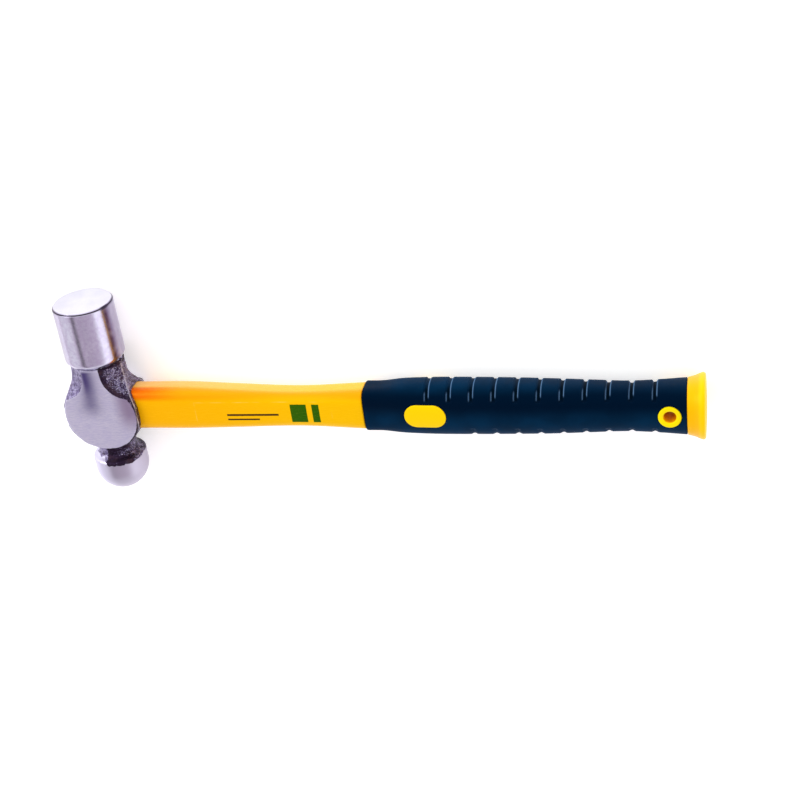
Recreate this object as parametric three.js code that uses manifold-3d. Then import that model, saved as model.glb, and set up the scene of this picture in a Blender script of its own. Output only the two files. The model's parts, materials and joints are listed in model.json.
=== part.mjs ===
// Ball peen hammer: a forged steel head bonded to a fibreglass core, a plastic jacket over the
// core, and a soft ribbed grip with a flared end cap and a hang hole.
//
// Units are millimetres. The hammer is drawn from the middle of its eye: +X runs down the handle
// to the butt, +Y points to the striking face and +Z comes out of the front cheek. It lies on its
// side, on the poll and the rim of the end cap, so +Z is up, and the group that holds its pieces
// moves the origin to the middle of the base of its box.

import * as THREE from 'three';
import { mergeVertices } from 'three/addons/utils/BufferGeometryUtils.js';
import Module from 'manifold-3d';

const wasm = await Module();
wasm.setup();

// ---- Driving dimensions ----

const GAP = 0.3; // clearance that every bonded or moulded joint is drawn with

// Head, measured along Y from the middle of the eye.
const FACE_AT = 65;
const POLL_RADIUS = 16.5;
const POLL_FOOT = 30;
const FACE_BEVEL = 1.1;
const CHEEK_HALF_THICKNESS = 12.1;
const CHEEK_RADIUS = 20.7;
const EYE_TOP_AT = 20.9; // the face that the core shows in
const EYE_MOUTH_AT = 21.3; // the face that the handle enters by
const STRIP_HALF_WIDTH = 5.2; // the ground strip that joins the cheek to the poll
const STRIP_FILLET_TOP = 25; // where the strip starts to flare into the cheek
const STRIP_FILLET_RADIUS = 14.3;
const STRIP_LEAVES_DISC_AT = 14.6; // above this height the strip is wider than the disc
const NECK_RADIUS = 10.5;
const PEEN_RADIUS = 14.8;
const PEEN_CENTRE = -36.5;
const PEEN_SHOULDER = -28.3;

// Handle, measured along X from the middle of the eye.
const BUTT_AT = 325;
const CAP_AT = 316;
const GRIP_FROM = 148.5;
const GRIP_TO = CAP_AT - GAP;
const SEAT_FLOOR_AT = 17; // the jacket's end is seated this far into the mouth of the eye
const JACKET_FROM = SEAT_FLOOR_AT + GAP;
const JACKET_TO = 321;
const CORE_FROM = -19.6;
const CORE_TO = 286;
const CORE_HALF_DEPTH = 7.6;
const CORE_HALF_THICKNESS = 4.8;
const DAM_FROM = 13.4; // the ring that kept the bond in the eye while it set
const CAP_EDGE = 1.6;

// Grip ribs: grooves across the top, and again across the belly from the third one on.
const GROOVE_COUNT = 11;
const FIRST_GROOVE_AT = 183.1;
const GROOVE_PITCH = 11.66;
const GROOVE_WIDTH = 2.8;
const GROOVE_DEPTH = 1.1;
const GROOVE_FROM_HEIGHT = 7.5; // the grooves fade out between these two heights
const GROOVE_FULL_HEIGHT = 10.5;
const FIRST_BELLY_GROOVE = 2;

// Hang hole and inlays, which sit a little below the middle of the eye.
const GRIP_MIDDLE = -0.5;
const HANG_HOLE_AT = 307.4;
const HANG_HOLE_RADIUS = 3.1;
const EYELET_RADIUS = 5.9;
const EYELET_HALF_LENGTH = 11.8;
const EYELET_LIP = 0.9;
const INLAY_AT = 182;
const INLAY_LENGTH = 22.3;
const INLAY_WIDTH = 13.4;
const INLAY_PROUD = 0.25;
const INLAY_THICKNESS = 1.3;

const OVAL_SIDES = 28;
const ROUND_SIDES = 40;

// ---- Solids from geometry ----

function toSolid(geometry) {
  const bare = geometry.clone();
  bare.deleteAttribute('normal');
  bare.deleteAttribute('uv');
  const welded = mergeVertices(bare, 1e-4);
  const corners = welded.index.array;
  const kept = [];
  for (let i = 0; i < corners.length; i += 3) {
    const [a, b, c] = corners.slice(i, i + 3);
    if (a !== b && b !== c && c !== a) kept.push(a, b, c);
  }
  return new wasm.Manifold(new wasm.Mesh({
    numProp: 3,
    vertProperties: new Float32Array(welded.getAttribute('position').array),
    triVerts: new Uint32Array(kept),
  }));
}

function toGeometry(solid) {
  const mesh = solid.getMesh();
  const geometry = new THREE.BufferGeometry();
  geometry.setAttribute('position', new THREE.BufferAttribute(mesh.vertProperties, 3));
  geometry.setIndex(new THREE.BufferAttribute(mesh.triVerts, 1));
  geometry.computeVertexNormals();
  return geometry;
}

// A size that changes smoothly along an axis: rows of [place, value, value, ...].
function smoothTable(rows) {
  const width = rows[0].length - 1;
  const places = new Float32Array(rows.map((row) => row[0]));
  const values = new Float32Array(rows.flatMap((row) => row.slice(1)));
  const curve = new THREE.CubicInterpolant(places, values, width, new Float32Array(width));
  return (place) => Array.from(curve.evaluate(place));
}

function evenStations(from, to, count) {
  return Array.from({ length: count + 1 }, (_, i) => THREE.MathUtils.lerp(from, to, i / count));
}

// A closed bar along X. sectionAt gives its half depth up Y, its half thickness up Z, the power
// that squares off the oval (2 is an ellipse) and the height of its middle. carve, if given,
// tells how far a point of the surface is sunk towards the middle.
function ovalBar(stations, sectionAt, carve = () => 0) {
  const rows = stations.length - 1;
  const bar = new THREE.CylinderGeometry(1, 1, rows, OVAL_SIDES, rows);
  const position = bar.getAttribute('position');
  for (let i = 0; i < position.count; i += 1) {
    const x = stations[Math.round(position.getY(i) + rows / 2)];
    const [depth, thickness, power, middle] = sectionAt(x);
    const up = position.getZ(i);
    const out = position.getX(i);
    const round = (Math.abs(up) ** power + Math.abs(out) ** power) ** (-1 / power);
    const onAxis = Math.hypot(up, out) < 0.5;
    const y = onAxis ? 0 : up * round * depth;
    const z = onAxis ? 0 : out * round * thickness;
    const keep = onAxis ? 1 : 1 - carve(x, y) / Math.hypot(y, z);
    position.setXYZ(i, x, y * keep + middle, z * keep);
  }
  return toSolid(bar);
}

function grown(sectionAt, by) {
  return (x) => {
    const [depth, thickness, power, middle] = sectionAt(x);
    return [depth + by, thickness + by, power, middle];
  };
}

// A shape turned about Y from its profile, given as [radius, height] from bottom to top.
function turned(profile, sides) {
  const points = profile.map(([radius, height]) => new THREE.Vector2(radius, height));
  return new THREE.LatheGeometry(points, sides);
}

function arcProfile(radius, centre, fromDegrees, toDegrees, count) {
  return evenStations(fromDegrees, toDegrees, count).map((degrees) => {
    const angle = THREE.MathUtils.degToRad(degrees);
    return [centre[0] + radius * Math.cos(angle), centre[1] + radius * Math.sin(angle)];
  });
}

// ---- Section of the handle ----

// The bare shaft is waisted: [place, half depth, half thickness, power, height of the middle].
const shaftAt = smoothTable([
  [SEAT_FLOOR_AT, 12.25, 8.2, 4.2, 0.6],
  [50, 12.25, 8.2, 4.2, 0.6],
  [75, 11.3, 8, 4.2, 0.3],
  [113, 10.2, 7.7, 4, 0],
  [GRIP_FROM, 11.7, 8.5, 4, 0],
]);

// ---- Head ----

// Half width of the ground cheek at a height: a disc, with a strip that flares out of it.
function cheekHalfWidth(y) {
  const disc = Math.sqrt(Math.max(CHEEK_RADIUS ** 2 - y ** 2, 0));
  if (y >= STRIP_FILLET_TOP) return STRIP_HALF_WIDTH;
  const below = STRIP_FILLET_TOP - y;
  if (below >= STRIP_FILLET_RADIUS) return disc;
  const flare = STRIP_FILLET_RADIUS - Math.sqrt(STRIP_FILLET_RADIUS ** 2 - below ** 2);
  const strip = STRIP_HALF_WIDTH + flare;
  return y > STRIP_LEAVES_DISC_AT ? strip : Math.min(disc, strip);
}

// The forged ridge beside the cheek: [height, distance from the middle, height above the middle].
const ridgeAt = smoothTable([
  [-20.5, 8, 9.8],
  [-19, 10.8, 10.8],
  [-14, 16.6, 11.4],
  [-8, 20.3, 11.4],
  [0, 21.3, 11.4],
  [5, 21.1, 11],
  [9, 20.1, 10.2],
  [12, 18.7, 8.7],
  [15, 17.5, 6.7],
  [18, 16.3, 4.7],
  [21, 15.6, 3.4],
  [25, 15.3, 3],
  [34, 15.3, 3],
]);

// The forged block between poll and peen: an eight-sided section at each height, with two ground
// cheeks, two flats around the eye and four rough facets between them.
function forgedBlock() {
  const heights = [-20.5, -19, -16.5, -13, -9, -4.5, 0, 4.5, 8, 10.8, 11.6, 12.8, 14.5, 17, 20.5, 25, 33];
  const rows = heights.length - 1;
  const corner = Math.PI / 8;
  const block = new THREE.CylinderGeometry(1, 1, rows, 8, rows, false, corner);
  const position = block.getAttribute('position');
  for (let i = 0; i < position.count; i += 1) {
    const y = heights[Math.round(position.getY(i) + rows / 2)];
    const [ridgeX, ridgeZ] = ridgeAt(y);
    const x = position.getX(i);
    const z = position.getZ(i);
    const onAxis = Math.hypot(x, z) < 0.5;
    const onCheek = Math.abs(z) > Math.abs(x);
    const face = x > 0 ? EYE_MOUTH_AT : EYE_TOP_AT;
    const far = onCheek ? Math.max(cheekHalfWidth(y), 1) : Math.min(ridgeX, face);
    const high = onCheek ? CHEEK_HALF_THICKNESS : ridgeZ;
    position.setXYZ(i, onAxis ? 0 : Math.sign(x) * far, y, onAxis ? 0 : Math.sign(z) * high);
  }
  return toSolid(block);
}

// The turned striking end: a plain cylinder, with its lower rim rounded in to the forged block.
function poll() {
  const footRound = 3.6;
  const neck = POLL_RADIUS - footRound;
  const profile = [
    [0, POLL_FOOT - 2],
    [neck, POLL_FOOT - 2],
    [neck + 1.2, POLL_FOOT],
    ...arcProfile(footRound, [neck, POLL_FOOT + footRound + 0.6], -55, 0, 4),
    [POLL_RADIUS, FACE_AT - FACE_BEVEL],
    [POLL_RADIUS - FACE_BEVEL, FACE_AT],
    [0, FACE_AT],
  ];
  return toSolid(turned(profile, ROUND_SIDES));
}

// The ball end: half a ball, a short band, a shoulder and the neck that runs into the block.
function peen() {
  const shoulderRound = 2;
  const bandTop = PEEN_SHOULDER - shoulderRound;
  const profile = [
    [0, PEEN_CENTRE - PEEN_RADIUS],
    ...arcProfile(PEEN_RADIUS, [0, PEEN_CENTRE], -90, 0, 10).slice(1),
    ...arcProfile(shoulderRound, [PEEN_RADIUS - shoulderRound, bandTop], 0, 90, 4),
    [NECK_RADIUS + 1.2, PEEN_SHOULDER + 0.4],
    [NECK_RADIUS, PEEN_SHOULDER + 2.2],
    [NECK_RADIUS, -22],
    [NECK_RADIUS + 0.8, -19.5],
    [NECK_RADIUS + 2.4, -17.2],
    [0, -15],
  ];
  return toSolid(turned(profile, ROUND_SIDES));
}

// The eye is waisted, so that the bond can't pull out of either end.
const eyeAt = smoothTable([
  [-24, 11.8, 7.9, 3, 0],
  [-6, 10.4, 6.8, 3, 0],
  [6, 10.3, 6.7, 3, 0],
  [24, 10.9, 7.1, 3, 0],
]);

function hammerHead() {
  const eye = ovalBar(evenStations(-24, 24, 6), eyeAt);
  const seat = ovalBar([SEAT_FLOOR_AT, SEAT_FLOOR_AT + 10], grown(shaftAt, GAP));
  return forgedBlock().add(poll()).add(peen()).subtract(eye).subtract(seat);
}

// ---- Core and bond ----

const coreAt = () => [CORE_HALF_DEPTH, CORE_HALF_THICKNESS, 3.2, 0];

function coreBar(from, to, by = 0) {
  return ovalBar([from, to], grown(coreAt, by));
}

function eyeFilling(from, to) {
  return ovalBar(evenStations(from, to, 4), grown(eyeAt, -GAP)).subtract(coreBar(from - 1, to + 1, GAP));
}

// ---- Jacket ----

// Under the grip the jacket is sunk, to leave room for the soft layer.
const tangAt = smoothTable([
  [GRIP_FROM, 9.8, 7, 3, 0],
  [185, 11.8, 8.6, 2.6, -0.1],
  [225, 11.4, 8.8, 2.6, -0.3],
  [287, 10.2, 8, 2.6, -0.5],
  [JACKET_TO, 11, 8.8, 2.6, -0.5],
]);

function shaftJacket() {
  const shaft = ovalBar(evenStations(JACKET_FROM, GRIP_FROM - GAP, 9), shaftAt);
  const tang = ovalBar(evenStations(GRIP_FROM - 4, JACKET_TO, 8), tangAt);
  const socket = coreBar(JACKET_FROM - 1, CORE_TO + GAP, GAP);
  return shaft.add(tang).subtract(socket).subtract(hangHoleBore(EYELET_RADIUS + GAP));
}

// ---- Grip ----

const gripAt = smoothTable([
  [GRIP_FROM, 12.5, 9.3, 3.8, 0],
  [158, 12.8, 9.8, 3.3, 0],
  [168, 14.4, 10.7, 2.7, 0],
  [185, 15.3, 11.6, 2.4, -0.1],
  [204, 15.2, 11.9, 2.4, -0.2],
  [225, 14.9, 11.9, 2.4, -0.3],
  [250, 14.3, 11.6, 2.4, -0.5],
  [270, 13.5, 11.1, 2.4, -0.5],
  [287, 12.9, 10.9, 2.4, -0.5],
  [300, 13.4, 11.3, 2.4, -0.5],
  [GRIP_TO, 14.4, 12.4, 2.4, -0.5],
]);

const grooveCentres = evenStations(0, GROOVE_COUNT - 1, GROOVE_COUNT - 1)
  .map((i) => FIRST_GROOVE_AT + i * GROOVE_PITCH);

function grooveDepth(x, y) {
  const nearest = Math.round((x - FIRST_GROOVE_AT) / GROOVE_PITCH);
  const first = y > 0 ? 0 : FIRST_BELLY_GROOVE;
  if (nearest < first || nearest >= GROOVE_COUNT) return 0;
  if (Math.abs(x - grooveCentres[nearest]) > GROOVE_WIDTH / 4 + 0.01) return 0;
  const reach = THREE.MathUtils.smoothstep(Math.abs(y), GROOVE_FROM_HEIGHT, GROOVE_FULL_HEIGHT);
  return GROOVE_DEPTH * reach;
}

function gripStations() {
  const grooves = grooveCentres.flatMap((x) => [
    x - GROOVE_WIDTH / 2,
    x - GROOVE_WIDTH / 4,
    x + GROOVE_WIDTH / 4,
    x + GROOVE_WIDTH / 2,
  ]);
  return [GRIP_FROM, GRIP_FROM + 1, 160, 170, ...grooves, 307, GRIP_TO];
}

// The soft layer starts with a small rounded lip where it meets the bare shaft.
function gripOuter(by, carve) {
  const lip = (x) => (x < GRIP_FROM + 0.5 ? -0.5 : 0);
  return ovalBar(gripStations(), (x) => grown(gripAt, by + lip(x))(x), carve);
}

function gripSleeve() {
  const bore = ovalBar(evenStations(GRIP_FROM - 4, JACKET_TO, 8), grown(tangAt, GAP));
  const pocketFloor = gripOuter(-INLAY_THICKNESS - GAP);
  const pockets = inlayPrism(GAP).subtract(pocketFloor);
  return gripOuter(0, grooveDepth)
    .subtract(bore)
    .subtract(pockets)
    .subtract(hangHoleBore(EYELET_RADIUS + GAP));
}

// ---- End cap ----

const capAt = smoothTable([
  [CAP_AT, 14.5, 12.5, 2.4, -0.5],
  [319.5, 15.5, 13.5, 2.3, -0.5],
  [BUTT_AT - CAP_EDGE, 17, 15, 2.3, -0.5],
  [BUTT_AT, 17.2, 15.2, 2.3, -0.5],
]);

function endCap() {
  const shoulder = evenStations(CAP_AT, BUTT_AT - CAP_EDGE, 4);
  const edge = [30, 60, 90].map((degrees) => THREE.MathUtils.degToRad(degrees));
  const stations = [...shoulder, ...edge.map((angle) => BUTT_AT - CAP_EDGE * (1 - Math.sin(angle)))];
  const rounding = (x) => {
    const past = Math.max(x - (BUTT_AT - CAP_EDGE), 0) / CAP_EDGE;
    return CAP_EDGE * (Math.sqrt(Math.max(1 - past ** 2, 0)) - 1);
  };
  const outer = ovalBar(stations, (x) => grown(capAt, rounding(x))(x));
  const socket = ovalBar(evenStations(CAP_AT - 2, JACKET_TO + GAP, 3), grown(tangAt, GAP));
  return outer.subtract(socket);
}

// ---- Hang hole and inlays ----

function hangHoleBore(radius) {
  const bore = new THREE.CylinderGeometry(radius, radius, 4 * EYELET_HALF_LENGTH, OVAL_SIDES);
  bore.rotateX(Math.PI / 2);
  bore.translate(HANG_HOLE_AT, GRIP_MIDDLE, 0);
  return toSolid(bore);
}

// The bushing that lines the hang hole, rolled over to a round lip at both ends.
function hangHoleEyelet() {
  const lipCentre = EYELET_HALF_LENGTH - EYELET_LIP;
  const outer = EYELET_RADIUS - EYELET_LIP;
  const inner = HANG_HOLE_RADIUS + EYELET_LIP;
  const loop = [
    ...arcProfile(EYELET_LIP, [outer, lipCentre], 0, 90, 2),
    ...arcProfile(EYELET_LIP, [inner, lipCentre], 90, 180, 2),
    ...arcProfile(EYELET_LIP, [inner, -lipCentre], 180, 270, 2),
    ...arcProfile(EYELET_LIP, [outer, -lipCentre], 270, 360, 2),
  ];
  const ring = turned([...loop, loop[0]], OVAL_SIDES);
  ring.rotateX(Math.PI / 2);
  ring.translate(HANG_HOLE_AT, GRIP_MIDDLE, 0);
  return toSolid(ring);
}

// A round-ended bar through the whole grip, from which both inlays and their pockets are cut.
function inlayPrism(by = 0) {
  const radius = INLAY_WIDTH / 2 + by;
  const straight = (INLAY_LENGTH - INLAY_WIDTH) / 2;
  const outline = new THREE.Shape();
  outline.absarc(straight, 0, radius, -Math.PI / 2, Math.PI / 2, false);
  outline.absarc(-straight, 0, radius, Math.PI / 2, 1.5 * Math.PI, false);
  const depth = 4 * PEEN_RADIUS;
  const bar = new THREE.ExtrudeGeometry(outline, { depth, bevelEnabled: false, curveSegments: 10 });
  bar.translate(INLAY_AT, GRIP_MIDDLE, -depth / 2);
  return toSolid(bar);
}

function inlay(side) {
  const bar = inlayPrism().intersect(gripOuter(INLAY_PROUD)).subtract(gripOuter(-INLAY_THICKNESS));
  const half = new THREE.BoxGeometry(2 * INLAY_LENGTH, 2 * INLAY_LENGTH, 2 * INLAY_LENGTH);
  half.translate(INLAY_AT, 0, side * INLAY_LENGTH);
  return bar.intersect(toSolid(half));
}

// ---- Materials and assembly ----

function finish(color, roughness, metalness = 0) {
  return new THREE.MeshStandardMaterial({ color, roughness, metalness });
}

const STEEL = finish(0xb9b1c9, 0.35, 1);
const FIBREGLASS = finish(0xd9cf9c, 0.6);
const EPOXY = finish(0xb8a878, 0.35);
const FOAM = finish(0x3a3a3c, 0.9);
const SHAFT_YELLOW = finish(0xffb60a, 0.3);
const GRIP_NAVY = finish(0x06203d, 0.55);
const LEMON_YELLOW = finish(0xfccf0a, 0.4);

const hammer = new THREE.Group();

function piece(name, solid, material) {
  const mesh = new THREE.Mesh(toGeometry(solid), material);
  mesh.name = name;
  hammer.add(mesh);
}

piece('hammer_head', hammerHead(), STEEL);
piece('core_rod', coreBar(CORE_FROM, CORE_TO), FIBREGLASS);
piece('eye_epoxy', eyeFilling(CORE_FROM, DAM_FROM - GAP), EPOXY);
piece('eye_dam', eyeFilling(DAM_FROM, SEAT_FLOOR_AT), FOAM);
piece('shaft_jacket', shaftJacket(), SHAFT_YELLOW);
piece('grip_sleeve', gripSleeve(), GRIP_NAVY);
piece('end_cap', endCap(), LEMON_YELLOW);
piece('hang_hole_eyelet', hangHoleEyelet(), LEMON_YELLOW);
piece('inlay_front', inlay(1), LEMON_YELLOW);
piece('inlay_back', inlay(-1), LEMON_YELLOW);

// The origin goes to the middle of the base of the hammer's box.
const peenEnd = PEEN_CENTRE - PEEN_RADIUS;
hammer.position.set(-(BUTT_AT - EYE_TOP_AT) / 2, -(FACE_AT + peenEnd) / 2, POLL_RADIUS);

const part = new THREE.Group();
part.add(hammer);

export default part;
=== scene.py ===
"""Ball peen hammer: the looks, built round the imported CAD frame.

Sizes are in millimetres, measured from the middle of the hammer's eye: s runs down the handle to
the butt, h points to the striking face and n comes out of the front cheek. at() turns them into
the row frame, in metres.
"""

import json
import math

import bmesh
import bpy
import numpy as np
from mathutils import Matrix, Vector, noise


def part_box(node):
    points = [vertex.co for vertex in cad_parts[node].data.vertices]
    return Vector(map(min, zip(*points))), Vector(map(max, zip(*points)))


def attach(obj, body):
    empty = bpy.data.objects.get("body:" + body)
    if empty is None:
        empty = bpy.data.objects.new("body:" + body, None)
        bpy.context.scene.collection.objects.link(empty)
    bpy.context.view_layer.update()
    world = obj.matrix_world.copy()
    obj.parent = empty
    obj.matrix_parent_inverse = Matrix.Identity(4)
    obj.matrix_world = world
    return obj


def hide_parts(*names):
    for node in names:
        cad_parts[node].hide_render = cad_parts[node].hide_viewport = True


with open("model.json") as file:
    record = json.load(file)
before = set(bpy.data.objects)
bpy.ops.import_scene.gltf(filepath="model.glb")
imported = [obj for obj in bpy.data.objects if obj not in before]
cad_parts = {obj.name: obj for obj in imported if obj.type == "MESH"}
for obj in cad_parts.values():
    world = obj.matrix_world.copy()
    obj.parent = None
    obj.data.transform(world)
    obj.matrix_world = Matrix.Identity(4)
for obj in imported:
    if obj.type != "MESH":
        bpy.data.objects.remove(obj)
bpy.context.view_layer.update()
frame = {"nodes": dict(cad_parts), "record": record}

MM = 0.001
MOUNTS = {m["name"]: np.array(m["pos_m"]) for m in frame["record"]["mounts"]}
EYE = (MOUNTS["cheek_front"] + MOUNTS["cheek_back"]) / 2


def at(points):
    """Points in hammer millimetres, put in the row frame in metres."""
    return np.asarray(points, float) * MM + EYE


def span(node):
    """Lowest and highest corner of a CAD node, in hammer millimetres."""
    low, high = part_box(node)
    return (np.array(low) - EYE) / MM, (np.array(high) - EYE) / MM


# ---- Camera ----

CAMERA_FROM_EYE = (343.289, 383.004, 639.328)
CAMERA_TURN = (-31.42739, 11.39062, -7.01075)
CAMERA_LENS = 65.138

camera_data = bpy.data.cameras.new("camera")
camera_data.lens = CAMERA_LENS
camera_data.sensor_width = 36
camera_data.clip_start = 0.01
camera_data.clip_end = 50
camera = bpy.data.objects.new("camera", camera_data)
camera.location = at(CAMERA_FROM_EYE)
camera.rotation_euler = [math.radians(a) for a in CAMERA_TURN]
bpy.context.scene.collection.objects.link(camera)
bpy.context.scene.camera = camera

# ---- Dimensions that come from the CAD ----

GAP = 0.3
FACE_AT = (MOUNTS["striking_face"] - EYE)[1] / MM
BUTT_AT = (MOUNTS["butt_face"] - EYE)[0] / MM
CHEEK = (MOUNTS["cheek_front"] - EYE)[2] / MM
HEAD_LOW = span("hammer_head")[0]
JACKET_FROM, JACKET_TO = span("shaft_jacket")[0][0], span("shaft_jacket")[1][0]
GRIP_FROM, GRIP_TO = span("grip_sleeve")[0][0], span("grip_sleeve")[1][0]
CAP_AT = span("end_cap")[0][0]
EYELET_LOW, EYELET_HIGH = span("hang_hole_eyelet")
INLAY_LOW, INLAY_HIGH = span("inlay_front")
CORE_TO = span("core_rod")[1][0]
HOLE_S = (EYELET_LOW[0] + EYELET_HIGH[0]) / 2
HOLE_H = (EYELET_LOW[1] + EYELET_HIGH[1]) / 2
EYELET_RADIUS = (EYELET_HIGH[0] - EYELET_LOW[0]) / 2
HOLE_RADIUS = 3.1

# ---- Other sizes that both the shapes and the materials use ----

CHEEK_RADIUS = 20.7
FACE_BEVEL = 1.1


def smooth_table(rows):
    """A size that changes smoothly along an axis, from rows of [place, value, value, ...]."""
    rows = np.array(rows, float)
    place, value = rows[:, 0], rows[:, 1:]
    slope = np.gradient(value, place, axis=0)

    def evaluate(x):
        x = np.clip(np.asarray(x, float), place[0], place[-1])
        i = np.clip(np.searchsorted(place, x, "right") - 1, 0, len(place) - 2)
        width = place[i + 1] - place[i]
        t = ((x - place[i]) / width)[..., None]
        width = width[..., None]
        return (
            (2 * t**3 - 3 * t**2 + 1) * value[i]
            + (t**3 - 2 * t**2 + t) * width * slope[i]
            + (3 * t**2 - 2 * t**3) * value[i + 1]
            + (t**3 - t**2) * width * slope[i + 1]
        )

    return evaluate


def step(low, high, x):
    """Smoothstep."""
    t = np.clip((np.asarray(x, float) - low) / (high - low), 0, 1)
    return t * t * (3 - 2 * t)


def soft_min(a, b, width):
    blend = np.clip(width - np.abs(a - b), 0, None) / width
    return np.minimum(a, b) - blend**2 * width / 4


def soft_max(a, b, width):
    return -soft_min(-a, -b, width)


def rough(points, size, octaves=3, seed=0):
    """Smooth random height from about -1 to 1 at each point; size is the grain in mm."""
    shift = Vector((13.7 * seed, 5.1 * seed, 2.9 * seed))
    flat = np.asarray(points, float).reshape(-1, 3) / size
    heights = [noise.fractal(Vector(p) + shift, 0.9, 2.1, octaves) for p in flat.tolist()]
    return np.array(heights).reshape(np.shape(points)[:-1])


# ---- Meshes ----


def mesh_object(name, points, faces):
    mesh = bpy.data.meshes.new(name)
    mesh.from_pydata(at(points).tolist(), [], faces)
    mesh.validate()
    mesh.update()
    obj = bpy.data.objects.new(name, mesh)
    bpy.context.scene.collection.objects.link(obj)
    return obj


def tube_faces(rows, columns, wrap_rows=False):
    """Quads of a grid that is closed round its columns, and round its rows if asked."""
    last = rows if wrap_rows else rows - 1
    r, c = np.meshgrid(np.arange(last), np.arange(columns), indexing="ij")
    below = (r + 1) % rows
    beside = (c + 1) % columns
    quads = [r * columns + c, r * columns + beside, below * columns + beside, below * columns + c]
    return np.stack(quads, -1).reshape(-1, 4).tolist()


def closed_loft(name, grid):
    """A closed skin over rows of points, with a point in the middle of each end."""
    rows, columns = grid.shape[:2]
    faces = tube_faces(rows, columns)
    first, last = rows * columns, rows * columns + 1
    top = (rows - 1) * columns
    for c in range(columns):
        beside = (c + 1) % columns
        faces.append([first, beside, c])
        faces.append([last, top + c, top + beside])
    ends = [grid[0].mean(0), grid[-1].mean(0)]
    return mesh_object(name, np.concatenate([grid.reshape(-1, 3), ends]), faces)


def ring_loft(name, grid):
    """A closed ring, such as a washer: the grid wraps round both ways."""
    return mesh_object(name, grid.reshape(-1, 3), tube_faces(*grid.shape[:2], wrap_rows=True))


def outward(obj):
    """Turns every face outwards."""
    made = bmesh.new()
    made.from_mesh(obj.data)
    bmesh.ops.recalc_face_normals(made, faces=made.faces)
    if made.calc_volume(signed=True) < 0:
        bmesh.ops.reverse_faces(made, faces=made.faces)
    made.to_mesh(obj.data)
    made.free()
    return obj


def cut(obj, *tools):
    """Takes the tools' solids away from obj, and deletes the tools."""
    outward(obj)
    for tool in tools:
        outward(tool)
        modifier = obj.modifiers.new("cut", "BOOLEAN")
        modifier.operation = "DIFFERENCE"
        modifier.solver = "MANIFOLD"
        modifier.object = tool
    bpy.context.view_layer.update()
    whole = obj.evaluated_get(bpy.context.evaluated_depsgraph_get())
    made = bpy.data.meshes.new_from_object(whole)
    obj.modifiers.clear()
    old = obj.data
    obj.data = made
    made.name = obj.name
    bpy.data.meshes.remove(old)
    for tool in tools:
        bpy.data.objects.remove(tool)
    return obj


def finished(obj, node, material, crease=40):
    """Shades a piece, gives it its material, hangs it on the root body and hides the CAD node that
    it replaces.
    """
    obj.data.materials.clear()
    obj.data.materials.append(material)
    obj.data.shade_smooth()
    obj.data.set_sharp_from_angle(angle=math.radians(crease))
    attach(obj, "root")
    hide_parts(node)
    return obj


def paint(obj, **layers):
    """Gives a mesh values per point, which the materials read by name."""
    for name, values in layers.items():
        layer = obj.data.attributes.new(name, "FLOAT", "POINT")
        layer.data.foreach_set("value", np.asarray(values, np.float32))
    return obj


def places(obj):
    """Where a piece's points are, in hammer millimetres."""
    flat = np.zeros(len(obj.data.vertices) * 3)
    obj.data.vertices.foreach_get("co", flat)
    return (flat.reshape(-1, 3) - EYE) / MM


def bell(x, width):
    """1 at nought, fading out over a width."""
    return np.exp(-((x / width) ** 2))


def oval_radius(section, angle):
    """Distance from the middle of a squared-off oval to its edge."""
    depth, thickness, power = (section[..., i, None] for i in range(3))
    h, n = np.abs(np.cos(angle)) / depth, np.abs(np.sin(angle)) / thickness
    return (h**power + n**power) ** (-1 / power)


def oval_grid(stations, section, columns, sink=None, by=0.0):
    """Rows of points round a bar along s. sink tells how deep a point is pressed in."""
    angle = np.linspace(0, 2 * np.pi, columns, endpoint=False)
    s = np.broadcast_to(np.asarray(stations, float)[:, None], (len(stations), columns))
    sized = section + np.array([1, 1, 0, 0]) * np.reshape(by, (-1, 1))
    radius = oval_radius(sized, angle)
    middle = sized[:, 3, None]
    if sink is not None:
        radius = radius - sink(s, radius * np.cos(angle), radius * np.sin(angle))
    return np.stack([s, radius * np.cos(angle) + middle, radius * np.sin(angle)], -1)


def oval_bar(name, stations, table, columns, by=0.0):
    """A closed bar along s, thicker by a margin all round."""
    return closed_loft(name, oval_grid(stations, table(stations), columns, by=by))


def round_off(distance, radius):
    """How far a rounded edge falls back, at a distance from the end of a bar."""
    inside = np.clip(radius - distance, 0, radius)
    return radius - np.sqrt(np.clip(radius**2 - inside**2, 0, None))


def constant(*section):
    return lambda stations: np.tile(np.array(section, float), (len(stations), 1))


def bore_tool(s, h, radius):
    angle = np.linspace(0, 2 * np.pi, 128, endpoint=False)
    ring = np.stack([s + radius * np.cos(angle), h + radius * np.sin(angle), 0 * angle], -1)
    grid = np.stack([ring + [0, 0, n] for n in (-40, 40)])
    return closed_loft("bore_tool", grid)


# ---- Materials ----


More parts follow.
